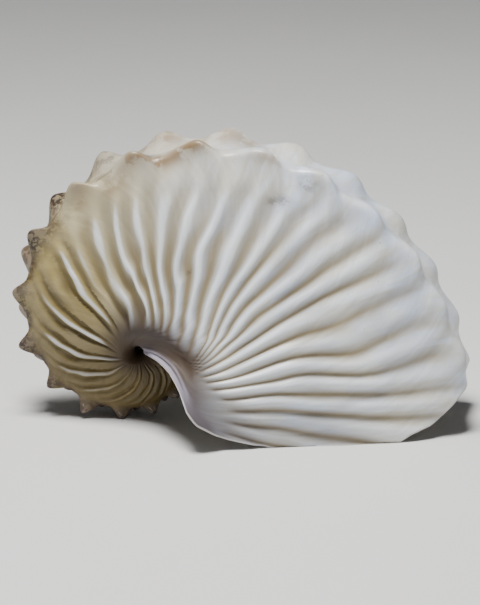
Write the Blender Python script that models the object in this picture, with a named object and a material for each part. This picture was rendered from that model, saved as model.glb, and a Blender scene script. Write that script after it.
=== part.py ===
"""Argonaut shell: one thin-walled, coiled shell that rests on its lip and on the lowest knob of its coil.

Every cross-section is the same shape, grown by a constant ratio as it turns about the coil's axis.
+Z is up, the coil lies in the X-Z plane and its axis runs along Y, with the open mouth facing down.
Lengths are in metres.  Widths and heights of the section are fractions of the keel radius there.
"""
import math

import bmesh
import bpy
import numpy as np

# Coil
KEEL_RADIUS = 0.0571             # coil axis to the knob tops where the keel ends at the lip
GROWTH = 0.2945                  # the radius grows by e to this power with each radian
LIP_ANGLE = math.radians(-5.5)   # where the keel ends, seen from the near side, from +X
COIL_TURN = math.radians(610.0)  # how far the coil runs back from the lip
AXIS_HEIGHT = 0.01435            # coil axis above the surface that the shell rests on

# Cross-section
KEEL_HALF = 0.14                # half the width of the keel band
KEEL_DIP = 0.012                # how hollow the keel band is between its two rows of knobs
FLANK_HALF = 0.30               # half the width at the shoulder
FLANK_CURVE = 1.7               # 1 is a flat flank, more is a rounder one
SHOULDER_RADIUS = 0.16          # where the flank turns in to the umbilicus
SEAM_RADIUS = 0.03              # where the wall joins the turn before it
SEAM_HALF = 0.038

# Knobs, a row along each edge of the keel, set half a step apart
KNOB_HEIGHT_NEW = 0.0009        # at the lip
KNOB_HEIGHT_OLD = 0.0024
KNOB_GROWN_TURN = math.radians(110.0)  # this far back from the lip they reach full height
KNOB_HEIGHT_LIMIT = 0.13        # of the keel radius, on the small early turns
KNOB_STEP_NEW = math.radians(9.0)
KNOB_STEP_OLD = math.radians(23.3)
KNOB_STEP_WIDENS = 0.097        # step added per radian back from the lip
NEAR_ROW_START = 0.55           # steps by which the near row is ahead of the far row
KNOB_SPREAD = 0.22              # how far a knob reaches down the flank, along the section

# Lip, as turns ahead of or behind the keel's end
EAR_REACH = math.radians(36.5)  # how far the lip leads at the ear
LIP_WAVE = math.radians(1.3)
SEAM_RETREAT = math.radians(76.0)

# Wall
WALL = 0.0009
WALL_LIMIT = 0.055              # of the keel radius, on the small early turns
CORNER_MITRE = 1.35             # keeps the wall's thickness round the keel's corner
BEAD_RADIUS = 0.0014            # the bead that the coil starts from

# Places along the half section: 0 at the keel's middle, 1 at the seam
KEEL_EDGE = 0.10
EAR = 0.69
SHOULDER = 0.72
RETREAT_SPAN = 0.24

# Mesh
SECTION_STEPS = (0.0, 0.05, KEEL_EDGE, 0.15, 0.24, 0.34, 0.44, 0.54, 0.65, 0.74, 0.83, 0.92, 1.0)
ROWS_PER_KNOB = 4
ROWS_PER_KNOB_INSIDE = 2
INSIDE_TURN = math.radians(330.0)  # behind this the coil is inside the shell


def keel_radius(angle):
    return KEEL_RADIUS * math.exp(-GROWTH * (angle - LIP_ANGLE))


def section(place):
    """Distance from the coil axis and half-width at a place along the half section."""
    if place <= KEEL_EDGE:
        across = place / KEEL_EDGE
        return 1.0 - KEEL_DIP * (1.0 - across**2), KEEL_HALF * across
    if place <= SHOULDER:
        down = (place - KEEL_EDGE) / (SHOULDER - KEEL_EDGE)
        swell = 1.0 - (1.0 - down) ** FLANK_CURVE
        return 1.0 - (1.0 - SHOULDER_RADIUS) * down, KEEL_HALF + (FLANK_HALF - KEEL_HALF) * swell
    inward = (place - SHOULDER) / (1.0 - SHOULDER) * math.pi / 2
    radius = SEAM_RADIUS + (SHOULDER_RADIUS - SEAM_RADIUS) * (1.0 - math.sin(inward))
    return radius, SEAM_HALF + (FLANK_HALF - SEAM_HALF) * math.cos(inward)


def lip_lead(place):
    """Turn of the lip at a place along the half section: growth lines repeat this outline."""
    if place <= KEEL_EDGE:
        return 0.0
    if place <= EAR:
        down = (place - KEEL_EDGE) / (EAR - KEEL_EDGE)
        return -EAR_REACH * down - LIP_WAVE * math.sin(2 * math.pi * down)
    back = min((place - EAR) / RETREAT_SPAN, 1.0)
    return -EAR_REACH + SEAM_RETREAT * (1.0 - math.cos(math.pi * back)) / 2


def knob_count(back):
    """Knobs passed by a point this far back from the lip."""
    step = KNOB_STEP_NEW + KNOB_STEP_WIDENS * back
    if step <= KNOB_STEP_OLD:
        return math.log(step / KNOB_STEP_NEW) / KNOB_STEP_WIDENS
    widest = (KNOB_STEP_OLD - KNOB_STEP_NEW) / KNOB_STEP_WIDENS
    return math.log(KNOB_STEP_OLD / KNOB_STEP_NEW) / KNOB_STEP_WIDENS + (back - widest) / KNOB_STEP_OLD


def knob_position(count):
    """The turn back from the lip of a given knob: knob_count the other way round."""
    widest = (KNOB_STEP_OLD - KNOB_STEP_NEW) / KNOB_STEP_WIDENS
    at_widest = math.log(KNOB_STEP_OLD / KNOB_STEP_NEW) / KNOB_STEP_WIDENS
    if count <= at_widest:
        return KNOB_STEP_NEW * (math.exp(KNOB_STEP_WIDENS * count) - 1.0) / KNOB_STEP_WIDENS
    return widest + (count - at_widest) * KNOB_STEP_OLD


def knob_height(back, radius):
    grown = min(back / KNOB_GROWN_TURN, 1.0)
    height = KNOB_HEIGHT_NEW + (KNOB_HEIGHT_OLD - KNOB_HEIGHT_NEW) * grown
    return min(height, KNOB_HEIGHT_LIMIT * radius)


def keel_dip(place):
    """1 on the keel band, falling to 0 down the flank, where the knobs' valleys end."""
    down = max(0.0, place - KEEL_EDGE) / KNOB_SPREAD
    return max(0.0, 1.0 - down) ** 1.5


def knob_rise(back, place, side):
    """0 between knobs and along the middle of the keel to 1 on a knob's top."""
    count = knob_count(back) - (NEAR_ROW_START if side < 0 else 0.0)
    along = (1.0 + math.cos(2 * math.pi * count)) / 2
    return along * min(1.0, place / KEEL_EDGE) ** 2


def wall_point(back, place, side, knobs=True):
    """A point of the outer skin, a turn back from the lip and at a place along one half section."""
    angle = LIP_ANGLE + back + lip_lead(place)
    radius = keel_radius(angle)
    out, half = section(place)
    rise = knob_rise(back, place, side) if knobs else 0.0
    out = out * radius - keel_dip(place) * (1.0 - rise) * knob_height(back, radius)
    return (out * math.cos(angle), side * half * radius, out * math.sin(angle))


def growth_rows():
    """Turns back from the lip of the mesh's rows."""
    rows = [0.0]
    count = 0.0
    while rows[-1] < COIL_TURN:
        per_knob = ROWS_PER_KNOB if rows[-1] < INSIDE_TURN else ROWS_PER_KNOB_INSIDE
        count += 1.0 / per_knob
        rows.append(knob_position(count))
    return rows


def skin_points(rows, places, knobs):
    return np.array([[wall_point(back, abs(p), -1 if p < 0 else 1, knobs) for p in places] for back in rows])


def skin_normals(points):
    along = np.gradient(points, axis=0)
    across = np.gradient(points, axis=1)
    normals = np.cross(across, along)
    return normals / np.linalg.norm(normals, axis=2)[:, :, None]


def shell_mesh():
    rows = growth_rows()
    places = [-p for p in reversed(SECTION_STEPS[1:])] + list(SECTION_STEPS)
    outer = skin_points(rows, places, True)
    smooth = skin_points(rows, places, False)
    walls = np.array([min(WALL, WALL_LIMIT * keel_radius(LIP_ANGLE + back)) for back in rows])
    mitres = np.array([CORNER_MITRE if abs(place) == KEEL_EDGE else 1.0 for place in places])
    inner = smooth - skin_normals(smooth) * np.outer(walls, mitres)[:, :, None]
    axis_offset = (outer[:, :, 0].min() + outer[:, :, 0].max()) / 2

    for skin in (outer, inner):
        skin[:, :, 0] -= axis_offset
        skin[:, :, 2] += AXIS_HEIGHT
        np.maximum(skin[:, :, 2], 0.0, out=skin[:, :, 2])

    bm = bmesh.new()
    grids = [[[bm.verts.new(point) for point in row] for row in skin] for skin in (outer, inner)]
    last_row = len(rows) - 1
    last_place = len(places) - 1
    out_grid, in_grid = grids
    for i in range(last_row):
        for j in range(last_place):
            bm.faces.new((out_grid[i][j], out_grid[i][j + 1], out_grid[i + 1][j + 1], out_grid[i + 1][j]))
            bm.faces.new((in_grid[i][j], in_grid[i + 1][j], in_grid[i + 1][j + 1], in_grid[i][j + 1]))
    for i in range(last_row):
        bm.faces.new((out_grid[i][0], out_grid[i + 1][0], in_grid[i + 1][0], in_grid[i][0]))
        bm.faces.new((out_grid[i + 1][-1], out_grid[i][-1], in_grid[i][-1], in_grid[i + 1][-1]))
    for j in range(last_place):
        bm.faces.new((out_grid[0][j + 1], out_grid[0][j], in_grid[0][j], in_grid[0][j + 1]))
        bm.faces.new((out_grid[-1][j], out_grid[-1][j + 1], in_grid[-1][j + 1], in_grid[-1][j]))
    bmesh.ops.recalc_face_normals(bm, faces=bm.faces[:])
    bmesh.ops.triangulate(bm, faces=bm.faces[:])
    mesh = bpy.data.meshes.new("argonaut_shell")
    bm.to_mesh(mesh)
    bm.free()
    return mesh, -axis_offset


def bead_mesh(axis_x):
    bm = bmesh.new()
    bmesh.ops.create_icosphere(bm, subdivisions=2, radius=BEAD_RADIUS)
    bmesh.ops.translate(bm, verts=bm.verts[:], vec=(axis_x, 0.0, AXIS_HEIGHT))
    mesh = bpy.data.meshes.new("first_bead")
    bm.to_mesh(mesh)
    bm.free()
    return mesh


def shell_material():
    material = bpy.data.materials.new("shell_ivory")
    material.use_nodes = True
    shader = material.node_tree.nodes["Principled BSDF"]
    shader.inputs["Base Color"].default_value = (0.74, 0.68, 0.58, 1.0)
    shader.inputs["Roughness"].default_value = 0.42
    shader.inputs["Metallic"].default_value = 0.0
    return material


def main():
    for thing in list(bpy.data.objects):
        bpy.data.objects.remove(thing, do_unlink=True)

    mesh, axis_x = shell_mesh()
    shell = bpy.data.objects.new("argonaut_shell", mesh)
    shell.data.materials.append(shell_material())
    bpy.context.collection.objects.link(shell)

    bead = bpy.data.objects.new("first_bead", bead_mesh(axis_x))
    bead.hide_render = True
    bead.display_type = "WIRE"
    bpy.context.collection.objects.link(bead)

    fuse = shell.modifiers.new("fuse_turns", "BOOLEAN")
    fuse.operation = "UNION"
    fuse.solver = "EXACT"
    fuse.use_self = True
    fuse.object = bead


main()
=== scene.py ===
import math

import bmesh
import bpy
import numpy as np
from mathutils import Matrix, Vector


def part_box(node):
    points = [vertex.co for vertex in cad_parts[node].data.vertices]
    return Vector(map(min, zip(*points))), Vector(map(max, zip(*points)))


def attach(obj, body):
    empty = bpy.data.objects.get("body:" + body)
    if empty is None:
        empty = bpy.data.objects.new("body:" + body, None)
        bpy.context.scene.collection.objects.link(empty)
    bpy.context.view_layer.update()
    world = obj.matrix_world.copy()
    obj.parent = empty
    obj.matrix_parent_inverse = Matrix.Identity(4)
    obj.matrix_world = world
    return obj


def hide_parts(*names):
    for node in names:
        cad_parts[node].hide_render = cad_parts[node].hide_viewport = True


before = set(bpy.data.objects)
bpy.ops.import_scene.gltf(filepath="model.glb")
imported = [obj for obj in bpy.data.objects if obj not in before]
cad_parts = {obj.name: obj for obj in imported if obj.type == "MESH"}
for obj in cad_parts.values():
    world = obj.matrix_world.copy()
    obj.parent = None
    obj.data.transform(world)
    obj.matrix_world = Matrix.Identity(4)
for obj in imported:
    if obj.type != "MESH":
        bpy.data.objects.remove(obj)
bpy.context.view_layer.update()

# ---------------------------------------------------------------------------
# The shell's driving shape, as shares of the solid's length and of the keel's
# radius at each turn.  Angles are in degrees, back from +X about the coil axis.
# ---------------------------------------------------------------------------
low, high = (Vector(corner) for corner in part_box("argonaut_shell"))
length = high.x - low.x
MM = length / 79.66            # one millimetre on a shell of the usual length

KEEL_RADIUS = 57.1 * MM
AXIS_HEIGHT = 14.35 * MM
GROWTH = 0.2945                # per radian
LIP_ANGLE = -5.5
COIL_TURN = 610.0

KEEL_HALF = 0.14
KEEL_DIP = 0.012
FLANK_HALF = 0.30
FLANK_CURVE = 1.7
SHOULDER_RADIUS = 0.16
SEAM_RADIUS = 0.03
SEAM_HALF = 0.038

# Places along the half section: 0 at the keel's middle, 1 at the seam
KEEL_EDGE = 0.10
EAR = 0.69
SHOULDER = 0.72

EAR_REACH = 36.5
LIP_WAVE = 1.3
SEAM_RETREAT = 76.0
RETREAT_SPAN = 0.24

KNOB_STEP_NEW = 9.0
KNOB_STEP_OLD = 23.3
KNOB_STEP_WIDENS = 0.097
NEAR_ROW_START = 0.55
KNOB_HEIGHT_NEW = 0.9 * MM
KNOB_HEIGHT_OLD = 2.4 * MM
KNOB_GROWN_TURN = 110.0
KNOB_HEIGHT_LIMIT = 0.13
KNOB_SPREAD = 0.22

WALL = 0.6 * MM
WALL_LIMIT = 0.05              # of the keel's radius, where the coil is small
RAGGED_EDGE = 0.45             # degrees that the lip's edge wanders
CURL_STEPS = 4                 # steps that round the lip's edge

# The coil's middle sits a little low and back from the spiral's own centre
MIDDLE_REACH = 6.0 * MM
MIDDLE_SHIFT = (-1.0, 0.0, -1.7)

# The lip's folds.  These and the middle's shift are in MM
RIDGE_RISE = 0.75
HOLLOW_DEPTH = 0.35
PIT_DEPTH = 0.8
TUCK_DEPTH = 1.5

# The grid of the skin.  Rows: start, stop and step in degrees back from the lip
ROW_SPANS = ((0.0, 119.0, 0.72), (119.0, 341.0, 0.98), (341.0, COIL_TURN + 5.0, 5.0))
KEEL_COLUMNS = 9
FLANK_COLUMNS = 66
SHOULDER_COLUMNS = 15


def smoothstep(start, stop, x):
    t = np.clip((x - start) / (stop - start), 0.0, 1.0)
    return t * t * (3.0 - 2.0 * t)


def soft_noise(x, y, seed):
    """Smooth values from -1 to 1 over a plane, one bump to a unit."""
    lattice = np.random.default_rng(seed).uniform(-1.0, 1.0, (64, 64))
    xi, yi = np.floor(x).astype(int), np.floor(y).astype(int)
    fx, fy = x - xi, y - yi
    fx, fy = fx * fx * (3 - 2 * fx), fy * fy * (3 - 2 * fy)

    def corner(dx, dy):
        return lattice[(xi + dx) % 64, (yi + dy) % 64]

    lower = corner(0, 0) * (1 - fx) + corner(1, 0) * fx
    upper = corner(0, 1) * (1 - fx) + corner(1, 1) * fx
    return lower * (1 - fy) + upper * fy


# ---------------------------------------------------------------------------
# Shape
# ---------------------------------------------------------------------------
def keel_radius(angle):
    return KEEL_RADIUS * np.exp(-GROWTH * np.radians(angle - LIP_ANGLE))


def section(place):
    """Distance from the coil axis and half-width at places along the half section."""
    across = np.clip(place / KEEL_EDGE, 0.0, 1.0)
    down = np.clip((place - KEEL_EDGE) / (SHOULDER - KEEL_EDGE), 0.0, 1.0)
    inward = np.clip((place - SHOULDER) / (1.0 - SHOULDER), 0.0, 1.0) * math.pi / 2
    keel_out = 1.0 - KEEL_DIP * (1.0 - across**2)
    flank_half = KEEL_HALF + (FLANK_HALF - KEEL_HALF) * (1.0 - (1.0 - down) ** FLANK_CURVE)
    turn_out = SEAM_RADIUS + (SHOULDER_RADIUS - SEAM_RADIUS) * (1.0 - np.sin(inward))
    turn_half = SEAM_HALF + (FLANK_HALF - SEAM_HALF) * np.cos(inward)
    on_keel, on_flank = place <= KEEL_EDGE, place <= SHOULDER
    out = np.where(on_keel, keel_out, np.where(on_flank, 1.0 - (1.0 - SHOULDER_RADIUS) * down, turn_out))
    half = np.where(on_keel, KEEL_HALF * across, np.where(on_flank, flank_half, turn_half))
    return out, half


def lip_lead(place):
    """Turn of the lip at places along the half section: growth lines repeat this outline."""
    down = np.clip((place - KEEL_EDGE) / (EAR - KEEL_EDGE), 0.0, 1.0)
    back = np.clip((place - EAR) / RETREAT_SPAN, 0.0, 1.0)
    lead = -EAR_REACH * down - LIP_WAVE * np.sin(2 * math.pi * down)
    return lead + SEAM_RETREAT * (1.0 - np.cos(math.pi * back)) / 2


def knob_count(back):
    """Knobs passed by points this far back from the lip."""
    widest = (KNOB_STEP_OLD - KNOB_STEP_NEW) / KNOB_STEP_WIDENS
    newer = np.log1p(KNOB_STEP_WIDENS * np.minimum(back, widest) / KNOB_STEP_NEW) / KNOB_STEP_WIDENS
    return newer + np.maximum(back - widest, 0.0) / KNOB_STEP_OLD


def knob_rise(back, side):
    """0 between knobs to 1 on a knob's top."""
    count = knob_count(back) - np.where(side < 0, NEAR_ROW_START, 0.0)
    which = np.round(count)
    wander = 0.07 * np.sin(which * 12.9898 + side * 4.1)
    phase = np.clip(count - which - wander * (1.0 - 2.0 * np.abs(count - which)), -0.5, 0.5)
    sharp = 1.0 + 1.3 * smoothstep(50.0, 160.0, back)
    size = 1.0 - 0.14 * (0.5 + 0.5 * np.sin(which * 78.233 + side))
    return size * ((1.0 + np.cos(2 * math.pi * phase)) / 2) ** sharp


def knob_reach(back, place):
    """How far a knob spreads down the flank and over the keel."""
    down = np.maximum(place - KEEL_EDGE, 0.0)
    old = smoothstep(60.0, 160.0, back)
    dome = np.exp(-((down / (0.075 - 0.02 * old)) ** 2))
    skirt = np.clip(1.0 - down / KNOB_SPREAD, 0.0, 1.0) ** 1.5
    over_keel = smoothstep(-0.03, KEEL_EDGE, place)
    return (0.65 * dome + 0.35 * skirt) * np.where(place < KEEL_EDGE, over_keel, 1.0)


# Ribs.  Each rib is a line that starts from its turn at RIB_LEVEL and bends as it goes
# down the flank: old ribs lean back, new ones sweep forward to meet behind the ear.
RIB_LEVEL = 0.30
LEAN_TURNS = (-10.0, 20.0, 50.0, 80.0, 100.0, 130.0, 155.0, 175.0, 205.0)
LEANS = (-15.0, -15.0, -22.0, 0.0, 8.0, 16.0, 68.0, 92.0, 105.0)
SWEEP_TURNS = (-40.0, -5.0, 20.0, 50.0, 81.0, 100.0, 110.0, 130.0)
SWEEPS = (-10.0, -14.0, -19.0, -36.0, -26.0, -25.0, -7.0, 0.0)
SWEEP_START = 0.40
RIB_STEP_NEW = 6.6
RIB_STEP_OLD = 11.45
RIB_STEP_WIDENS = 0.034
FIRST_LONG_RIB = 131.6
FAR_RIBS_AHEAD = 0.37          # of a rib's step
# Lines over which the ribs turn from new to grown, to long and short in turn, to broad
NEW_RIBS = (15.0, 75.0)
OLD_RIBS = (108.0, 135.0)
OLDEST_RIBS = (150.0, 200.0)
RIB_HEIGHT = 0.85 * MM
OLDER_RIB_HEIGHT = 1.0 * MM
RIB_HEIGHT_LIMIT = 0.044       # of the keel's radius


def rib_turn(line, place):
    """Where a rib line has got to at a place down the flank."""
    lean = np.interp(line, LEAN_TURNS, LEANS) * 0.25 * np.tanh((place - RIB_LEVEL) / 0.25)
    past = np.clip(place - SWEEP_START, 0.0, 0.34)
    sweep = np.interp(line, SWEEP_TURNS, SWEEPS) * (past / 0.3) ** 2.6
    return line + lean + sweep


def rib_lines(angle, place):
    """The rib line through each point."""
    lines = np.linspace(-120.0, 760.0, 3600)
    found = np.empty_like(angle)
    for j in range(angle.shape[1]):
        reached = np.maximum.accumulate(rib_turn(lines, place[0, j]) + 1e-4 * lines)
        found[:, j] = np.interp(angle[:, j], reached, lines)
    return found


def rib_count(line):
    """Ribs passed by a line, even numbers on the long ribs."""
    widest = (RIB_STEP_OLD - RIB_STEP_NEW) / RIB_STEP_WIDENS
    step = RIB_STEP_NEW + RIB_STEP_WIDENS * np.clip(line, -120.0, widest)
    start = RIB_STEP_NEW + RIB_STEP_WIDENS * FIRST_LONG_RIB
    return np.log(step / start) / RIB_STEP_WIDENS + np.maximum(line - widest, 0.0) / RIB_STEP_OLD


def rib_strength(grid, line, which, gaps):
    """How strongly a rib shows: it fades at both ends, in patches and beside the lip."""
    angle, place = grid.angle, grid.place
    old = smoothstep(*OLD_RIBS, line)
    oldest = smoothstep(*OLDEST_RIBS, line)
    new = 1.0 - smoothstep(*NEW_RIBS, line)
    short = np.abs(which % 2)
    lively = np.sin(which * 37.719 + 1.3)
    starts = 0.18 + 0.03 * lively - 0.05 * new + 0.05 * old * short
    ends = 0.75 - old * (0.07 + short * 0.26) + 0.12 * oldest * (1.0 - short)
    strength = smoothstep(starts - 0.08, starts + 0.15 - 0.09 * new, place)
    strength = strength * (1.0 - smoothstep(ends - 0.07, ends + 0.05, place))
    strength = strength * (1.0 - 0.35 * short * old) * (0.86 + 0.14 * lively)
    patchy = smoothstep(-0.2, 0.9, soft_noise(angle / 12.0 + 9.0, place * 6.0, 8))
    strength = strength * (1.0 - (0.25 + 0.1 * new) * patchy)
    clear = (2.3 + 2.3 * (1.0 - smoothstep(-24.0, 0.0, angle))) * MM
    clear_of_lip = smoothstep(clear, clear * 1.7, gaps)
    return strength * (1.0 - smoothstep(0.58, 0.67, place) * (1.0 - clear_of_lip))


def ribs(grid, gaps):
    """Ribs from 0 in a groove to 1 on a crest, their strength, their line and their count."""
    angle, place = grid.angle, grid.place
    line = rib_lines(angle, place)
    old = smoothstep(*OLD_RIBS, line)
    oldest = smoothstep(*OLDEST_RIBS, line)
    new = 1.0 - smoothstep(*NEW_RIBS, line)
    wobble = (0.24 - 0.12 * old) * soft_noise(angle / 15.0 + 3.0, place * 6.0, 5)
    wobble = wobble + 0.10 * soft_noise(angle / 6.0, place * 11.0, 6)
    count = rib_count(line) + wobble + np.where(grid.side > 0, FAR_RIBS_AHEAD, 0.0)
    sharpness = 1.7 - 0.9 * new - 0.8 * oldest
    crest = ((1.0 + np.cos(2 * math.pi * count)) / 2) ** sharpness
    return crest, rib_strength(grid, line, np.round(count), gaps), line, count


# Old growth stops: turns back from the lip, and how deep each crease is
GROWTH_STOPS = ((5.5, 0.7), (12.0, 1.0), (21.0, 0.6), (33.0, 0.9), (52.0, 0.6), (71.0, 0.4))
CREASE_DEPTH = 0.16 * MM

# Wear.  Each mark: turn, place, side (-1 near, 1 far), reach in turn, reach in place, strength
DIRT_SPOTS = (
    (89.0, 0.08, -1, 2.5, 0.030, 0.8),
    (103.0, 0.06, -1, 3.0, 0.035, 0.6),
    (122.0, 0.04, -1, 5.0, 0.050, 1.0),
    (137.0, 0.11, -1, 4.0, 0.045, 0.8),
    (48.0, 0.22, -1, 2.2, 0.018, 0.6),
    (50.5, 0.24, -1, 1.6, 0.012, 0.5),
    (46.0, 0.15, -1, 1.9, 0.016, 0.6),
    (47.5, 0.12, -1, 1.4, 0.012, 0.5),
    (61.0, 0.53, -1, 1.4, 0.012, 0.5),
    (129.0, 0.15, -1, 9.0, 0.050, 0.7),
    (150.0, 0.10, -1, 10.0, 0.060, 0.7),
    (176.0, 0.11, -1, 12.0, 0.050, 0.8),
    (200.0, 0.10, -1, 12.0, 0.050, 0.6),
    (122.0, 0.07, 1, 9.0, 0.070, 1.2),
    (103.0, 0.06, 1, 7.0, 0.050, 0.6),
    (140.0, 0.06, 1, 10.0, 0.060, 0.8),
)
TAN_SPOTS = (
    (76.0, 0.11, -1, 6.0, 0.035, 1.0),
    (84.0, 0.14, -1, 5.0, 0.045, 0.8),
    (85.5, 0.145, -1, 0.8, 0.030, 1.6),
    (92.0, 0.12, -1, 5.0, 0.040, 0.9),
    (100.0, 0.18, -1, 5.0, 0.050, 0.6),
    (111.0, 0.14, -1, 5.0, 0.040, 0.8),
    (57.0, 0.12, -1, 5.0, 0.025, 0.6),
    (66.0, 0.05, 1, 9.0, 0.050, 0.7),
    (86.0, 0.06, 1, 7.0, 0.050, 0.8),
)


def spotted(spots, angle, place, side):
    """Soft spots of wear at given places."""
    mask = np.zeros_like(angle)
    for turn, at, spot_side, turn_reach, place_reach, strength in spots:
        away = ((angle - turn) / turn_reach) ** 2 + ((place - at) / place_reach) ** 2
        mask += strength * np.exp(-away) * (side == spot_side)
    return np.clip(mask, 0.0, 1.0)


def lip_gap(points, rows):
    """Distance of each point in the first rows from the lip's edge."""
    edge = points[0]
    gaps = np.full(points.shape[:2], 1.0)
    for i in range(rows):
        gaps[i] = np.linalg.norm(points[i][:, None] - edge[None], axis=2).min(axis=1)
    return gaps


def grid_normals(points):
    normals = np.cross(np.gradient(points, axis=1), np.gradient(points, axis=0))
    return normals / np.maximum(np.linalg.norm(normals, axis=2), 1e-12)[:, :, None]


def gap_between(points, count):
    """Local distance from one rib to the next."""
    steepest = np.zeros_like(count)
    for axis in (0, 1):
        step = np.linalg.norm(np.gradient(points, axis=axis), axis=2)
        steepest = np.maximum(steepest, np.abs(np.gradient(count, axis=axis)) / np.maximum(step, 1e-9))
    return 1.0 / np.maximum(steepest, 1e-6)


def soften_across(points, places, passes):
    """Round the keel's corners: average each point with its neighbours across the shell."""
    for _ in range(passes):
        near_edge = np.exp(-(((np.abs(places) - KEEL_EDGE) / 0.022) ** 2))
        middle = (points[:, :-2] + points[:, 2:]) / 2
        weight = 0.5 * near_edge[1:-1][None, :, None]
        points[:, 1:-1] = points[:, 1:-1] * (1 - weight) + middle * weight
    return points


class SkinGrid:
    """Where each point of the skin lies on the coil, row by row from the lip."""

    def __init__(self):
        backs = np.concatenate([np.arange(*span) for span in ROW_SPANS])
        self.backs = backs[: len(backs) - 1 + len(backs) % 2]
        half = np.concatenate([
            np.linspace(0.0, KEEL_EDGE, KEEL_COLUMNS)[:-1],
            np.linspace(KEEL_EDGE, SHOULDER, FLANK_COLUMNS)[:-1],
            np.linspace(SHOULDER, 1.0, SHOULDER_COLUMNS),
        ])
        self.places = np.concatenate([-half[:0:-1], half])
        self.back, self.signed = np.meshgrid(self.backs, self.places, indexing="ij")
        self.place = np.abs(self.signed)
        self.side = np.where(self.signed < 0, -1.0, 1.0)
        ragged = RAGGED_EDGE * soft_noise(self.place * 40.0, self.place * 0.0 + self.side, 21)
        ragged = ragged * np.exp(-self.back / 2.0)
        self.angle = LIP_ANGLE + self.back + lip_lead(self.place) + ragged
        self.radius = keel_radius(self.angle)


def knobbed_coil(grid):
    """The bare coil with its keel and knobs, and each point's distance from the coil's axis."""
    place, radius = grid.place, grid.radius
    out, half_width = section(place)
    grown = np.clip(grid.back / KNOB_GROWN_TURN, 0, 1)
    knob_height = KNOB_HEIGHT_NEW + (KNOB_HEIGHT_OLD - KNOB_HEIGHT_NEW) * grown
    knob_height = np.minimum(knob_height, KNOB_HEIGHT_LIMIT * radius)

    # keel and flank at the level of the valleys between knobs, with the keel's corner rounded
    valley = np.clip(1.0 - np.maximum(place - KEEL_EDGE, 0.0) / KNOB_SPREAD, 0.0, 1.0) ** 1.5
    out = out * radius - valley * knob_height
    turn = np.radians(grid.angle)
    points = np.stack([out * np.cos(turn), grid.side * half_width * radius, out * np.sin(turn)], axis=-1)
    points = soften_across(points, grid.places, 7)

    bump = 1.12 * knob_height * knob_rise(grid.back, grid.side) * knob_reach(grid.back, place)
    sideways = 0.30 * bump * np.exp(-(((place - KEEL_EDGE) / 0.05) ** 2))
    points += np.stack([bump * np.cos(turn), grid.side * sideways, bump * np.sin(turn)], axis=-1)

    from_axis = np.hypot(points[:, :, 0], points[:, :, 2])
    inmost = np.exp(-((from_axis / MIDDLE_REACH) ** 2))[:, :, None]
    points += inmost * np.array(MIDDLE_SHIFT) * MM
    return points, from_axis


def growth_creases(grid):
    """Shallow creases along old lips, broken up down the flank."""
    place = grid.place
    crease = np.zeros_like(grid.back)
    for turn_back, depth in GROWTH_STOPS:
        wander = 1.6 * soft_noise(place * 9.0 + turn_back, place * 0.0, 31)
        crease += depth * np.exp(-(((grid.back - turn_back - wander) / 0.8) ** 2))
    crease *= smoothstep(0.06, 0.16, place) * (1.0 - smoothstep(0.55, 0.68, place))
    return crease * smoothstep(-0.5, 0.4, soft_noise(grid.angle / 9.0, place * 6.0, 32))


def lip_folds(grid, gaps):
    """The lip's thick ridge, the hollow behind it, the pit in that, and the tucked-in lower lip."""
    place = grid.place
    ridge_width = (1.0 + 0.9 * (1.0 - smoothstep(0.69, 0.76, place))) * MM
    ridge = np.exp(-((gaps / (0.9 * ridge_width)) ** 2)) * smoothstep(0.62, 0.72, place)
    ridge = ridge * (1.0 - smoothstep(0.90, 1.0, place))
    hollow = np.exp(-(((gaps - 2.6 * MM) / (1.3 * MM)) ** 2)) * smoothstep(0.69, 0.73, place)
    hollow = hollow * (1.0 - smoothstep(0.80, 0.90, place))
    pit = np.exp(-(((grid.angle - 4.0) / 14.0) ** 2) - ((place - 0.745) / 0.042) ** 2)
    tuck = np.exp(-((gaps / (7.0 * MM)) ** 2)) * smoothstep(0.28, 0.46, place)
    tuck = tuck * (1.0 - smoothstep(0.62, 0.71, place)) * (1.0 - ridge)
    return ridge, hollow, pit, tuck


def umbilicus_masks(grid, gaps, from_axis):
    """Where painted shade goes: the brown shoulder and its darkest part by the pit, the coil's dark middle,
    and the lilac ear and lower lip.
    """
    angle, place = grid.angle, grid.place
    near_lip = 1.0 - smoothstep(70.0, 120.0, angle)
    # darkest painted shade, around the pit
    darkest = np.exp(-(((angle - 3.0) / 17.0) ** 2) - ((place - 0.73) / 0.05) ** 2)
    # painted shade along the lower lip and on the ear, where the surface turns down
    low_edge = 0.4 * smoothstep(0.22, 0.42, place) + 0.6 * smoothstep(0.52, 0.66, place)
    ear = np.exp(-((gaps / (8.0 * MM)) ** 2)) * low_edge
    return {
        "umbilicus": smoothstep(0.55 + 0.09 * near_lip, 0.74, place),
        "shade": np.clip(1.3 * darkest, 0.0, 1.0),
        # where painted shade darkens the hole at the coil's middle
        "navel": np.exp(-((from_axis / (4.5 * MM)) ** 2)) * smoothstep(90.0, 150.0, angle),
        "ear": ear * (1.0 - smoothstep(-22.0, -4.0, angle)),
    }


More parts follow.
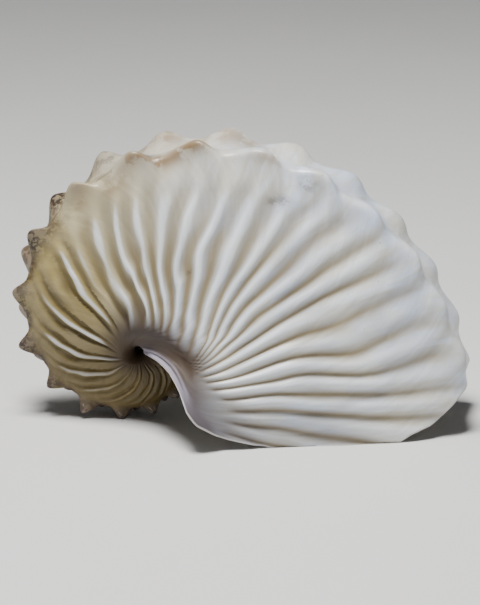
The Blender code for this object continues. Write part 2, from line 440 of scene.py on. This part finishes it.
def shell_skins():
    """Points of the outer and inner skins, and the masks and flow lines that the finish uses."""
    grid = SkinGrid()
    angle, place, side, radius = grid.angle, grid.place, grid.side, grid.radius
    points, from_axis = knobbed_coil(grid)
    gaps = lip_gap(points, int(np.searchsorted(grid.backs, 110.0)))
    normals = grid_normals(points)

    crest, strength, line, count = ribs(grid, gaps)
    rib_height = RIB_HEIGHT + (OLDER_RIB_HEIGHT - RIB_HEIGHT) * smoothstep(30.0, 120.0, line)
    rib_height = np.minimum(rib_height, RIB_HEIGHT_LIMIT * radius)
    crowding = 0.30 - 0.14 * smoothstep(0.66, 0.74, place)
    rib_height = np.minimum(rib_height, crowding * gap_between(points, count))
    crease = growth_creases(grid)
    lift = (crest - 0.6) * strength * rib_height - CREASE_DEPTH * crease
    points = points + normals * lift[:, :, None]

    ridge, hollow, pit, tuck = lip_folds(grid, gaps)
    fold = ridge * RIDGE_RISE - hollow * HOLLOW_DEPTH - pit * PIT_DEPTH - tuck * TUCK_DEPTH
    outer = points + normals * (fold * MM)[:, :, None]
    middle_x = (outer[:, :, 0].min() + outer[:, :, 0].max()) / 2
    outer += np.array([(low.x + high.x) / 2 - middle_x, 0.0, low.z + AXIS_HEIGHT])
    inner = outer - normals * np.minimum(WALL, WALL_LIMIT * radius)[:, :, None]
    outer[:, :, 2] = np.maximum(outer[:, :, 2], low.z)
    inner[:, :, 2] = np.maximum(inner[:, :, 2], low.z + 0.02 * MM)

    masks = {
        "rib": np.clip(strength, 0.0, 1.0),
        "age": np.clip(angle / 300.0, -0.2, 2.0),
        "knob": knob_rise(grid.back, side),
        "keel": np.exp(-((np.maximum(place - KEEL_EDGE, 0.0) / 0.07) ** 2)),
        "down": place,
        "ridge": ridge,
        "crease": crease,
        "dirt": spotted(DIRT_SPOTS, angle, place, side),
        "tan": spotted(TAN_SPOTS, angle, place, side),
        "hollow": np.clip(0.5 * hollow + pit, 0.0, 1.0),
        **umbilicus_masks(grid, gaps, from_axis),
    }
    arc = KEEL_RADIUS / GROWTH * (1.0 - np.exp(-GROWTH * np.radians(grid.back)))
    flows = {
        "grown": np.stack([arc / MM, grid.signed * radius / MM * 1.3, grid.back / 57.3], axis=-1),
        "fibre": np.stack([count, 2.2 * place, side], axis=-1),
    }
    return outer, inner[::2, ::2], masks, flows


def lip_curl(outer, inner, steps):
    """Rows that round the lip's edge from the outer skin to the inner one."""
    across = np.arange(outer.shape[1]) / 2.0
    columns = np.arange(inner.shape[1])
    below = np.stack([np.interp(across, columns, inner[0][:, k]) for k in range(3)], axis=-1)
    middle = (outer[0] + below) / 2
    half = (outer[0] - below) / 2
    forward = outer[0] - outer[1]
    forward /= np.maximum(np.linalg.norm(forward, axis=1), 1e-12)[:, None]
    thick = np.linalg.norm(half, axis=1)[:, None]
    rows = []
    for k in range(1, steps):
        turn = math.pi * k / steps
        rows.append(middle + half * math.cos(turn) + forward * thick * math.sin(turn))
    curl = np.array(rows)
    curl[:, :, 2] = np.maximum(curl[:, :, 2], low.z)
    return curl


def sheet(index):
    """Quads over a grid of point numbers."""
    corners = [index[:-1, :-1], index[:-1, 1:], index[1:, 1:], index[1:, :-1]]
    return np.stack(corners, axis=-1).reshape(-1, 4).tolist()


def stitch(fine, coarse):
    """Faces that join a line of points to one with half as many steps."""
    faces = []
    for k in range(len(coarse) - 1):
        faces.append([int(fine[2 * k]), int(fine[2 * k + 1]), int(coarse[k])])
        faces.append([int(fine[2 * k + 1]), int(fine[2 * k + 2]), int(coarse[k + 1]), int(coarse[k])])
    return faces


def build_shell():
    """One closed mesh: outer skin, rounded lip and lining, each with its own finish."""
    outer, inner, masks, flows = shell_skins()
    curl = lip_curl(outer, inner, CURL_STEPS)
    points = np.concatenate([outer.reshape(-1, 3), curl.reshape(-1, 3), inner.reshape(-1, 3)])
    number = np.arange(len(points))
    outer_ids = number[: outer.shape[0] * outer.shape[1]].reshape(outer.shape[:2])
    curl_ids = number[outer_ids.size: outer_ids.size + curl.shape[0] * curl.shape[1]].reshape(curl.shape[:2])
    inner_ids = number[outer_ids.size + curl_ids.size:].reshape(inner.shape[:2])

    skin = sheet(outer_ids)
    edge = sheet(np.concatenate([outer_ids[:1], curl_ids])) + stitch(curl_ids[-1], inner_ids[0])
    for end in (0, -1):
        edge += stitch(outer_ids[:, end], inner_ids[:, end])
        edge.append([int(outer_ids[0, end]), *map(int, curl_ids[:, end]), int(inner_ids[0, end])])
    edge += stitch(outer_ids[-1], inner_ids[-1])
    lining = sheet(inner_ids)

    mesh = bpy.data.meshes.new("shell_wall")
    mesh.from_pydata(points.tolist(), [], skin + edge + lining)
    finish = np.repeat([0, 2, 1], [len(skin), len(edge), len(lining)]).astype(np.int32)
    mesh.polygons.foreach_set("material_index", finish)
    mesh.polygons.foreach_set("use_smooth", np.ones(len(finish), dtype=bool))

    def over_all(mask):
        """A mask's values at every point: outer skin, then lip, then lining."""
        width = mask.shape[-1] if mask.ndim == 3 else 1
        grids = (mask, np.repeat(mask[:1], len(curl), axis=0), mask[::2, ::2])
        return np.concatenate([grid.reshape(-1, width) for grid in grids]).reshape(-1).astype(np.float32)

    for name, mask in masks.items():
        mesh.attributes.new(name, "FLOAT", "POINT").data.foreach_set("value", over_all(mask))
    for name, flow in flows.items():
        mesh.attributes.new(name, "FLOAT_VECTOR", "POINT").data.foreach_set("vector", over_all(flow))

    work = bmesh.new()
    work.from_mesh(mesh)
    bmesh.ops.recalc_face_normals(work, faces=work.faces)
    work.to_mesh(mesh)
    work.free()
    mesh.update()
    shell = bpy.data.objects.new("shell_wall", mesh)
    bpy.context.collection.objects.link(shell)
    return shell


# ---------------------------------------------------------------------------
# Finish.  Age runs from 0 at the newest growth to 1 and more in the oldest turn, and
# down is the place along the half section.
# ---------------------------------------------------------------------------
CHALK_COOL = (0.60, 0.68, 0.84)
CHALK_WARM = (0.80, 0.81, 0.79)
IVORY_LIGHT = (0.55, 0.46, 0.24)
IVORY_DEEP = (0.39, 0.30, 0.105)
OLD_OLIVE = (0.105, 0.070, 0.015)
# the oldest coil's own brown, made darker as painted shade on the low coil that faces down
OLDEST_BROWN_AND_SHADE = (0.055, 0.033, 0.006)
STREAK_NEW = (0.52, 0.47, 0.33)
STREAK_OLD = (0.14, 0.10, 0.04)
# groove colours: khaki and olive tint that also paints the shadow in each groove
GROOVE_KHAKI_SHADE = (0.25, 0.185, 0.08)
GROOVE_OLIVE_SHADE = (0.10, 0.068, 0.013)
# crest colours: the ribs' pale crests, lightened as painted highlight
CREST_WHITE_HIGHLIGHT = (0.84, 0.88, 0.93)
CREST_OLD_HIGHLIGHT = (0.20, 0.145, 0.052)
CREASE_TAN = (0.34, 0.30, 0.24)
# brown of the umbilicus's shoulder, darkened as painted shade where it turns in
SHOULDER_BROWN_AND_SHADE = (0.045, 0.030, 0.026)
# painted shade, brown-tinted, in the hollow behind the ridge and in the pit
HOLLOW_SHADE_BROWN = (0.06, 0.038, 0.024)
# painted shade in the hole at the coil's middle
NAVEL_SHADE = (0.04, 0.02, 0.008)
# lilac tint darkened as painted shade on the ear and lower lip
EAR_LILAC_SHADE = (0.088, 0.075, 0.085)
# the ridge's low end by the ear, dark as painted shade
RIDGE_LOW_SHADE = (0.11, 0.095, 0.108)
RIDGE_LILAC = (0.31, 0.28, 0.345)
KEEL_STAIN = (0.075, 0.042, 0.02)
KNOB_WORN = (0.25, 0.19, 0.175)
TAN_STAIN = (0.22, 0.140, 0.065)
DIRT = (0.035, 0.022, 0.014)
GRIME = (0.03, 0.018, 0.012)
SPECK_BROWN = (0.12, 0.09, 0.05)


def put(tree, kind, inputs=(), **settings):
    """Add a node, with values or sockets for its inputs."""
    node = tree.nodes.new(kind)
    for key, value in settings.items():
        setattr(node, key, value)
    for key, value in dict(inputs).items():
        if isinstance(value, bpy.types.NodeSocket):
            tree.links.new(value, node.inputs[key])
        else:
            node.inputs[key].default_value = value
    return node


def calc(tree, operation, first, second=0.0):
    return put(tree, "ShaderNodeMath", {0: first, 1: second}, operation=operation).outputs[0]


def times(tree, first, second):
    return calc(tree, "MULTIPLY", first, second)


def remap(tree, value, start, stop, to_start=0.0, to_stop=1.0):
    """Smoothly map start..stop to new values, held beyond the ends."""
    inputs = {"Value": value, "From Min": start, "From Max": stop, "To Min": to_start, "To Max": to_stop}
    node = put(tree, "ShaderNodeMapRange", inputs, interpolation_type="SMOOTHSTEP")
    return node.outputs["Result"]


def colour_of(value):
    return value if isinstance(value, bpy.types.NodeSocket) else (*value, 1.0)


def blend(tree, share, first, second, kind="MIX"):
    """Mix two colours; inputs 6 and 7 are the mix node's colours."""
    inputs = {"Factor": share, 6: colour_of(first), 7: colour_of(second)}
    return put(tree, "ShaderNodeMix", inputs, data_type="RGBA", blend_type=kind).outputs[2]


def mask_of(tree, name, output="Fac"):
    return put(tree, "ShaderNodeAttribute", attribute_name=name).outputs[output]


def new_group(name, inputs, outputs):
    """An empty shader group, its input sockets and its output node."""
    group = bpy.data.node_groups.new(name, "ShaderNodeTree")
    for label, kind, value in inputs:
        socket = group.interface.new_socket(name=label, in_out="INPUT", socket_type=kind)
        socket.default_value = value
    for label, kind in outputs:
        group.interface.new_socket(name=label, in_out="OUTPUT", socket_type=kind)
    return group, group.nodes.new("NodeGroupInput").outputs, group.nodes.new("NodeGroupOutput")


def growth_line_group():
    """Fine lines of growth that follow the lip."""
    group, given, result = new_group(
        "growth_lines",
        [("Grown", "NodeSocketVector", (0, 0, 0)), ("Lines per mm", "NodeSocketFloat", 2.0),
         ("Waviness", "NodeSocketFloat", 0.4)],
        [("Tone", "NodeSocketFloat"), ("Height", "NodeSocketFloat")])
    parts = put(group, "ShaderNodeSeparateXYZ", {0: given["Grown"]}).outputs
    ripple = put(group, "ShaderNodeTexNoise", {"Vector": given["Grown"], "Scale": 0.35, "Detail": 3.0})
    shift = times(group, ripple.outputs[0], given["Waviness"])
    along = times(group, calc(group, "ADD", parts[0], shift), given["Lines per mm"])
    slow = times(group, parts[1], 0.06)
    where = put(group, "ShaderNodeCombineXYZ", {0: along, 1: slow, 2: parts[2]}).outputs[0]
    fine = put(group, "ShaderNodeTexNoise", {"Vector": where, "Scale": 1.0, "Detail": 4.0, "Roughness": 0.6})
    broad = put(group, "ShaderNodeTexNoise", {"Vector": where, "Scale": 0.22, "Detail": 2.0})
    tone = calc(group, "ADD", times(group, fine.outputs[0], 0.6), times(group, broad.outputs[0], 0.4))
    group.links.new(remap(group, tone, 0.3, 0.7), result.inputs["Tone"])
    group.links.new(fine.outputs[0], result.inputs["Height"])
    return group


def streak_group():
    """Soft streaks that run down the ribs."""
    group, given, result = new_group(
        "rib_streaks",
        [("Fibre", "NodeSocketVector", (0, 0, 0)), ("Streaks per rib", "NodeSocketFloat", 3.0),
         ("Low", "NodeSocketFloat", 0.35), ("High", "NodeSocketFloat", 0.65)],
        [("Mask", "NodeSocketFloat"), ("Height", "NodeSocketFloat")])
    parts = put(group, "ShaderNodeSeparateXYZ", {0: given["Fibre"]}).outputs
    across = times(group, parts[0], given["Streaks per rib"])
    where = put(group, "ShaderNodeCombineXYZ", {0: across, 1: times(group, parts[1], 3.0), 2: parts[2]})
    noise = put(group, "ShaderNodeTexNoise",
                {"Vector": where.outputs[0], "Scale": 1.0, "Detail": 3.0, "Distortion": 0.6})
    group.links.new(remap(group, noise.outputs[0], given["Low"], given["High"]), result.inputs["Mask"])
    group.links.new(noise.outputs[0], result.inputs["Height"])
    return group


def rib_wave_group():
    """Where the grooves and crests of the ribs lie."""
    group, given, result = new_group(
        "rib_wave",
        [("Count", "NodeSocketFloat", 0.0), ("Strength", "NodeSocketFloat", 1.0),
         ("Sharpness", "NodeSocketFloat", 1.0)],
        [("Groove", "NodeSocketFloat"), ("Crest", "NodeSocketFloat")])
    wave = calc(group, "COSINE", times(group, given["Count"], 2 * math.pi))
    up = times(group, calc(group, "ADD", wave, 1.0001), 0.5)
    crest = calc(group, "POWER", up, given["Sharpness"])
    low = calc(group, "MAXIMUM", calc(group, "SUBTRACT", 1.0, crest), 0.0)
    wide = calc(group, "MINIMUM", times(group, given["Strength"], 1.7), 1.0)
    groove = times(group, calc(group, "POWER", low, 1.7), wide)
    group.links.new(groove, result.inputs["Groove"])
    group.links.new(times(group, crest, given["Strength"]), result.inputs["Crest"])
    return group


def blotch_group():
    """Soft uneven patches."""
    group, given, result = new_group(
        "blotches",
        [("Size", "NodeSocketFloat", 4.0), ("Cover", "NodeSocketFloat", 0.5),
         ("Edge", "NodeSocketFloat", 0.1), ("Seed", "NodeSocketFloat", 0.0)],
        [("Mask", "NodeSocketFloat")])
    where = put(group, "ShaderNodeTexCoord").outputs["Object"]
    often = calc(group, "DIVIDE", 1.0 / MM, given["Size"])
    noise = put(group, "ShaderNodeTexNoise",
                {"Vector": where, "W": given["Seed"], "Scale": often, "Detail": 5.0, "Roughness": 0.6},
                noise_dimensions="4D")
    level = calc(group, "SUBTRACT", 1.0, given["Cover"])
    start = calc(group, "SUBTRACT", level, given["Edge"])
    stop = calc(group, "ADD", level, given["Edge"])
    group.links.new(remap(group, noise.outputs[0], start, stop), result.inputs["Mask"])
    return group


def speck_group():
    """Small scattered dots of dirt."""
    group, given, result = new_group(
        "specks",
        [("Spacing", "NodeSocketFloat", 1.5), ("Radius", "NodeSocketFloat", 0.1),
         ("Share", "NodeSocketFloat", 0.5)],
        [("Mask", "NodeSocketFloat")])
    where = put(group, "ShaderNodeTexCoord").outputs["Object"]
    often = calc(group, "DIVIDE", 1.0 / MM, given["Spacing"])
    cells = put(group, "ShaderNodeTexVoronoi", {"Vector": where, "Scale": often})
    chance = put(group, "ShaderNodeSeparateColor", {0: cells.outputs["Color"]}).outputs[0]
    kept = calc(group, "LESS_THAN", chance, given["Share"])
    reach = times(group, given["Radius"], calc(group, "ADD", 0.5, chance))
    near = remap(group, cells.outputs["Distance"], times(group, reach, 0.5), reach, 1.0, 0.0)
    group.links.new(times(group, near, kept), result.inputs["Mask"])
    return group


GROWTH_LINES = growth_line_group()
STREAKS = streak_group()
RIB_WAVE = rib_wave_group()
BLOTCHES = blotch_group()
SPECKS = speck_group()


def use(tree, group, **values):
    """Place a shader group, with its inputs named in words joined by underscores."""
    node = tree.nodes.new("ShaderNodeGroup")
    node.node_tree = group
    for key, value in values.items():
        socket = node.inputs[key.replace("_", " ")]
        if isinstance(value, bpy.types.NodeSocket):
            tree.links.new(value, socket)
        else:
            socket.default_value = value
    return node.outputs


def start_material(name, roughness, coat):
    material = bpy.data.materials.new(name)
    material.use_nodes = True
    tree = material.node_tree
    shader = tree.nodes["Principled BSDF"]
    shader.inputs["Roughness"].default_value = roughness
    shader.inputs["Coat Weight"].default_value = coat
    shader.inputs["Coat Roughness"].default_value = 0.25
    shader.inputs["IOR"].default_value = 1.52
    shader.inputs["Subsurface Weight"].default_value = 0.08
    shader.inputs["Subsurface Radius"].default_value = (0.9 * MM, 0.7 * MM, 0.5 * MM)
    shader.inputs["Subsurface Scale"].default_value = 1.0
    return material, tree, shader


def grown_colour(tree, age, streaks):
    """Cool chalk when new, then ivory, olive and brown, with streaks along the ribs; the oldest coil's brown
    is partly its own colour and partly painted shade.
    """
    cloud = use(tree, BLOTCHES, Size=11.0, Cover=0.5, Edge=0.16, Seed=1.0)["Mask"]
    chalk = blend(tree, cloud, CHALK_COOL, CHALK_WARM)
    ivory = blend(tree, cloud, IVORY_LIGHT, IVORY_DEEP)
    colour = blend(tree, remap(tree, age, 0.13, 0.46), chalk, ivory)
    colour = blend(tree, remap(tree, age, 0.36, 0.72, 0.0, 0.9), colour, OLD_OLIVE)
    colour = blend(tree, remap(tree, age, 0.75, 1.1, 0.0, 0.9), colour, OLDEST_BROWN_AND_SHADE)
    thin = times(tree, streaks["Mask"], remap(tree, age, 0.1, 0.6, 0.42, 0.25))
    streak = blend(tree, remap(tree, age, 0.3, 0.7), STREAK_NEW, STREAK_OLD)
    return blend(tree, thin, colour, streak)


def add_ribs(tree, colour, age, down, fibre):
    """Khaki to olive in the grooves, partly tint and partly painted shadow, paler high on the middle flank,
    and white along the crests, partly the shell's white and partly painted highlight.
    """
    count = put(tree, "ShaderNodeSeparateXYZ", {0: fibre}).outputs[0]
    sharp = remap(tree, age, 0.05, 0.25, 0.8, 1.7)
    sharp = calc(tree, "SUBTRACT", sharp, remap(tree, age, 0.50, 0.67, 0.0, 0.8))
    wave = use(tree, RIB_WAVE, Count=count, Strength=mask_of(tree, "rib"), Sharpness=sharp)
    groove_tint_and_shade = times(tree, wave["Groove"], remap(tree, down, 0.10, 0.42, 0.60, 1.0))
    middle = times(tree, remap(tree, age, 0.08, 0.22), remap(tree, age, 0.36, 0.50, 1.0, 0.0))
    pale = times(tree, middle, remap(tree, down, 0.30, 0.55, 0.45, 0.0))
    groove_tint_and_shade = times(tree, groove_tint_and_shade, calc(tree, "SUBTRACT", 1.0, pale))
    # painted shadow and khaki tint in the grooves, stronger down the flank
    groove = blend(tree, remap(tree, age, 0.05, 0.6), GROOVE_KHAKI_SHADE, GROOVE_OLIVE_SHADE)
    colour = blend(tree, times(tree, groove_tint_and_shade, 0.92), colour, groove)
    # painted highlight along the crests, over their pale colour
    high = times(tree, remap(tree, wave["Crest"], 0.5, 0.95), remap(tree, age, 0.0, 0.3, 0.75, 1.0))
    crest = blend(tree, remap(tree, age, 0.48, 0.85), CREST_WHITE_HIGHLIGHT, CREST_OLD_HIGHLIGHT)
    return blend(tree, times(tree, high, 0.8), colour, crest)


def add_growth_lines(tree, colour, lines):
    colour = blend(tree, times(tree, mask_of(tree, "crease"), 0.22), colour, CREASE_TAN)
    shade = remap(tree, lines["Tone"], 0.0, 1.0, 0.88, 1.06)
    grey = put(tree, "ShaderNodeCombineColor", {0: shade, 1: shade, 2: shade}).outputs[0]
    return blend(tree, 1.0, colour, grey, "MULTIPLY")


def add_umbilicus(tree, colour, age, down, umbilicus):
    """The brown shoulder and hollow, the lilac ear and ridge of the lip, and the dark middle, with painted
    shade in the shoulder, hollow, ear, the ridge's low end and the middle.
    """
    # painted shade over the brown where the shoulder turns in to the umbilicus
    shoulder = times(tree, umbilicus, remap(tree, age, 0.35, 0.7, 0.97, 0.7))
    colour = blend(tree, shoulder, colour, SHOULDER_BROWN_AND_SHADE)
    # painted shade, lilac-tinted, on the ear and along the lower lip
    colour = blend(tree, times(tree, mask_of(tree, "ear"), 0.85), colour, EAR_LILAC_SHADE)
    # painted shade in the hollow and pit behind the ridge
    hollow = times(tree, mask_of(tree, "hollow"), 1.2)
    sunken = calc(tree, "MAXIMUM", hollow, times(tree, mask_of(tree, "shade"), 0.85))
    colour = blend(tree, calc(tree, "MINIMUM", sunken, 0.9), colour, HOLLOW_SHADE_BROWN)
    # lilac ridge, with painted shade on its low end by the ear
    ridge_tone_and_shade = blend(tree, remap(tree, down, 0.70, 0.78), RIDGE_LOW_SHADE, RIDGE_LILAC)
    colour = blend(tree, remap(tree, mask_of(tree, "ridge"), 0.10, 0.50, 0.0, 0.95), colour, ridge_tone_and_shade)
    # painted shade in the hole at the coil's middle
    return blend(tree, times(tree, mask_of(tree, "navel"), 0.9), colour, NAVEL_SHADE)


def add_wear(tree, colour, age, keel, old_keel):
    """Stains between the old knobs, their worn tops, tan marks, dirt, grime and specks."""
    knob = mask_of(tree, "knob")
    stain = use(tree, BLOTCHES, Size=4.5, Cover=0.50, Edge=0.05, Seed=4.0)["Mask"]
    fleck = use(tree, BLOTCHES, Size=1.0, Cover=0.50, Edge=0.03, Seed=9.0)["Mask"]
    specks = use(tree, SPECKS, Spacing=1.9, Radius=0.10, Share=0.4)["Mask"]
    between = times(tree, stain, remap(tree, knob, 0.25, 0.8, 0.9, 0.25))
    colour = blend(tree, times(tree, old_keel, between), colour, KEEL_STAIN)
    knob_top = times(tree, old_keel, remap(tree, knob, 0.45, 0.9))
    colour = blend(tree, times(tree, knob_top, 0.6), colour, KNOB_WORN)
    tan = times(tree, mask_of(tree, "tan"), remap(tree, stain, 0.0, 1.0, 0.50, 0.95))
    colour = blend(tree, tan, colour, TAN_STAIN)
    soiled = times(tree, mask_of(tree, "dirt"), remap(tree, fleck, 0.0, 1.0, 0.45, 0.97))
    colour = blend(tree, soiled, colour, DIRT)
    grime = times(tree, times(tree, keel, remap(tree, age, 0.38, 0.6)), fleck)
    colour = blend(tree, times(tree, grime, 0.8), colour, GRIME)
    return blend(tree, times(tree, specks, 0.5), colour, SPECK_BROWN)


def shell_outer():
    material, tree, shader = start_material("shell_outer", 0.36, 0.22)
    shader.inputs["Specular IOR Level"].default_value = 0.35
    age = mask_of(tree, "age")
    down = mask_of(tree, "down")
    keel = mask_of(tree, "keel")
    umbilicus = mask_of(tree, "umbilicus")
    fibre = mask_of(tree, "fibre", "Vector")
    grown = mask_of(tree, "grown", "Vector")
    lines = use(tree, GROWTH_LINES, Grown=grown, Lines_per_mm=0.8, Waviness=2.2)
    streaks = use(tree, STREAKS, Fibre=fibre, Streaks_per_rib=2.6, Low=0.36, High=0.66)
    old_keel = times(tree, keel, remap(tree, age, 0.22, 0.5))

    colour = grown_colour(tree, age, streaks)
    colour = add_ribs(tree, colour, age, down, fibre)
    colour = add_growth_lines(tree, colour, lines)
    colour = add_umbilicus(tree, colour, age, down, umbilicus)
    colour = add_wear(tree, colour, age, keel, old_keel)
    tree.links.new(colour, shader.inputs["Base Color"])

    # duller in the umbilicus and on the old keel
    dull = calc(tree, "MAXIMUM", times(tree, umbilicus, 0.3), times(tree, old_keel, 0.2))
    rough = calc(tree, "ADD", remap(tree, lines["Tone"], 0.0, 1.0, 0.44, 0.32), dull)
    tree.links.new(rough, shader.inputs["Roughness"])
    glossy = times(tree, remap(tree, umbilicus, 0.1, 0.8, 0.22, 0.02), remap(tree, age, 0.4, 0.8, 1.0, 0.2))
    tree.links.new(glossy, shader.inputs["Coat Weight"])
    bump = put(tree, "ShaderNodeBump", {"Height": lines["Height"], "Strength": 0.2, "Distance": 0.12 * MM})
    on_flank = remap(tree, down, 0.58, 0.70, 0.35, 0.0)
    soft = put(tree, "ShaderNodeBump", {"Height": streaks["Height"], "Strength": on_flank,
                                        "Distance": 0.3 * MM, "Normal": bump.outputs[0]})
    tree.links.new(soft.outputs[0], shader.inputs["Normal"])
    return material


def shell_inner():
    material, tree, shader = start_material("shell_inner", 0.28, 0.35)
    grown = mask_of(tree, "grown", "Vector")
    lines = use(tree, GROWTH_LINES, Grown=grown, Lines_per_mm=0.8, Waviness=0.6)
    cloud = use(tree, BLOTCHES, Size=9.0, Cover=0.5, Edge=0.2, Seed=2.0)["Mask"]
    deep_inside = remap(tree, mask_of(tree, "age"), 0.1, 0.9)
    colour = blend(tree, cloud, (0.76, 0.74, 0.72), (0.72, 0.68, 0.61))
    colour = blend(tree, deep_inside, colour, (0.52, 0.43, 0.30))
    colour = blend(tree, remap(tree, lines["Tone"], 0.0, 1.0, 0.12, 0.0), colour, (0.45, 0.38, 0.30))
    tree.links.new(colour, shader.inputs["Base Color"])
    bump = put(tree, "ShaderNodeBump", {"Height": lines["Height"], "Strength": 0.15, "Distance": 0.15 * MM})
    tree.links.new(bump.outputs[0], shader.inputs["Normal"])
    return material


def shell_lip():
    material, tree, shader = start_material("shell_lip", 0.34, 0.25)
    stain = use(tree, BLOTCHES, Size=2.2, Cover=0.45, Edge=0.12, Seed=6.0)["Mask"]
    specks = use(tree, SPECKS, Spacing=1.6, Radius=0.12, Share=0.3)["Mask"]
    old = remap(tree, mask_of(tree, "age"), 0.2, 0.6)
    # the lip's edge is darker from the keel to the ear as painted shade, and pale where it turns in
    turned_in = remap(tree, mask_of(tree, "down"), 0.68, 0.76)
    pale = blend(tree, turned_in, (0.50, 0.47, 0.47), (0.70, 0.66, 0.69))
    colour = blend(tree, times(tree, stain, 0.35), pale, (0.50, 0.44, 0.36))
    colour = blend(tree, old, colour, (0.34, 0.26, 0.16))
    colour = blend(tree, times(tree, specks, 0.4), colour, (0.3, 0.24, 0.18))
    tree.links.new(colour, shader.inputs["Base Color"])
    return material


shell = build_shell()
for material in (shell_outer(), shell_inner(), shell_lip()):
    shell.data.materials.append(material)
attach(shell, "root")
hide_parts("argonaut_shell")


# ---------------------------------------------------------------------------
# Floor, light and camera
# ---------------------------------------------------------------------------
def floor_card():
    material, tree, shader = start_material("floor_card", 0.8, 0.0)
    grain = use(tree, BLOTCHES, Size=60.0, Cover=0.5, Edge=0.3, Seed=3.0)["Mask"]
    colour = blend(tree, grain, (0.70, 0.70, 0.69), (0.73, 0.73, 0.72))
    tree.links.new(colour, shader.inputs["Base Color"])
    return material


def build_floor():
    """A pale card floor that curves up all round, so every side has a plain backdrop."""
    flat, curve = 14.0 * length, 8.0 * length
    profile = [(0.0, 0.0), (flat, 0.0)]
    for k in range(1, 13):
        turn = math.pi / 2 * k / 12
        profile.append((flat + curve * math.sin(turn), curve * (1 - math.cos(turn))))
    profile.append((flat + curve, 2.0 * curve))
    sides = 72
    verts = []
    for reach, height in profile:
        for k in range(sides):
            turn = 2 * math.pi * k / sides
            verts.append((reach * math.cos(turn), reach * math.sin(turn), low.z + height))
    faces = []
    for ring in range(len(profile) - 1):
        for k in range(sides):
            first, second = ring * sides + k, ring * sides + (k + 1) % sides
            faces.append((first, second, second + sides, first + sides))
    mesh = bpy.data.meshes.new("studio_floor")
    mesh.from_pydata(verts, [], faces)
    mesh.materials.append(floor_card())
    for face in mesh.polygons:
        face.use_smooth = True
    work = bmesh.new()
    work.from_mesh(mesh)
    bmesh.ops.remove_doubles(work, verts=work.verts, dist=1e-5)
    work.to_mesh(mesh)
    work.free()
    floor = bpy.data.objects.new("studio_floor", mesh)
    bpy.context.collection.objects.link(floor)


# The camera: degrees round from -Y and above the floor, with its lens in millimetres
VIEW_AZIMUTH = 3.0
VIEW_ELEVATION = 16.2
VIEW_DISTANCE = 494.6 * MM
AIM_BEHIND_MIDDLE = 0.5 * MM
AIM_HEIGHT = 20.75 * MM
LENS = 170.3
SENSOR_WIDTH = 36.0


def area_light(name, place, aim, size, power, colour):
    light = bpy.data.lights.new(name, "AREA")
    light.energy = power
    light.size = size
    light.color = colour
    lamp = bpy.data.objects.new(name, light)
    lamp.location = place
    lamp.rotation_euler = (aim - place).to_track_quat("-Z", "Y").to_euler()
    bpy.context.collection.objects.link(lamp)


def build_lights():
    middle = (low + high) / 2
    area_light("top_light", middle + Vector((-0.05, -0.10, 0.44)), middle, 0.15, 4.5, (1.0, 0.99, 0.97))
    area_light("front_fill", middle + Vector((0.5, -0.7, 0.15)), middle, 0.6, 0.4, (0.92, 0.96, 1.0))
    world = bpy.data.worlds.new("studio")
    world.use_nodes = True
    world.node_tree.nodes["Background"].inputs["Color"].default_value = (0.9, 0.93, 1.0, 1.0)
    world.node_tree.nodes["Background"].inputs["Strength"].default_value = 0.10
    bpy.context.scene.world = world


def build_camera():
    azimuth, elevation = math.radians(VIEW_AZIMUTH), math.radians(VIEW_ELEVATION)
    back = Vector((math.sin(azimuth) * math.cos(elevation),
                   -math.cos(azimuth) * math.cos(elevation), math.sin(elevation)))
    aim = Vector(((low.x + high.x) / 2 - AIM_BEHIND_MIDDLE, 0.0, low.z + AIM_HEIGHT))
    data = bpy.data.cameras.new("camera")
    data.sensor_width = SENSOR_WIDTH
    data.lens = LENS
    camera = bpy.data.objects.new("camera", data)
    camera.location = aim + back * VIEW_DISTANCE
    camera.rotation_euler = (-back).to_track_quat("-Z", "Y").to_euler()
    bpy.context.collection.objects.link(camera)
    bpy.context.scene.camera = camera


build_floor()
build_lights()
build_camera()
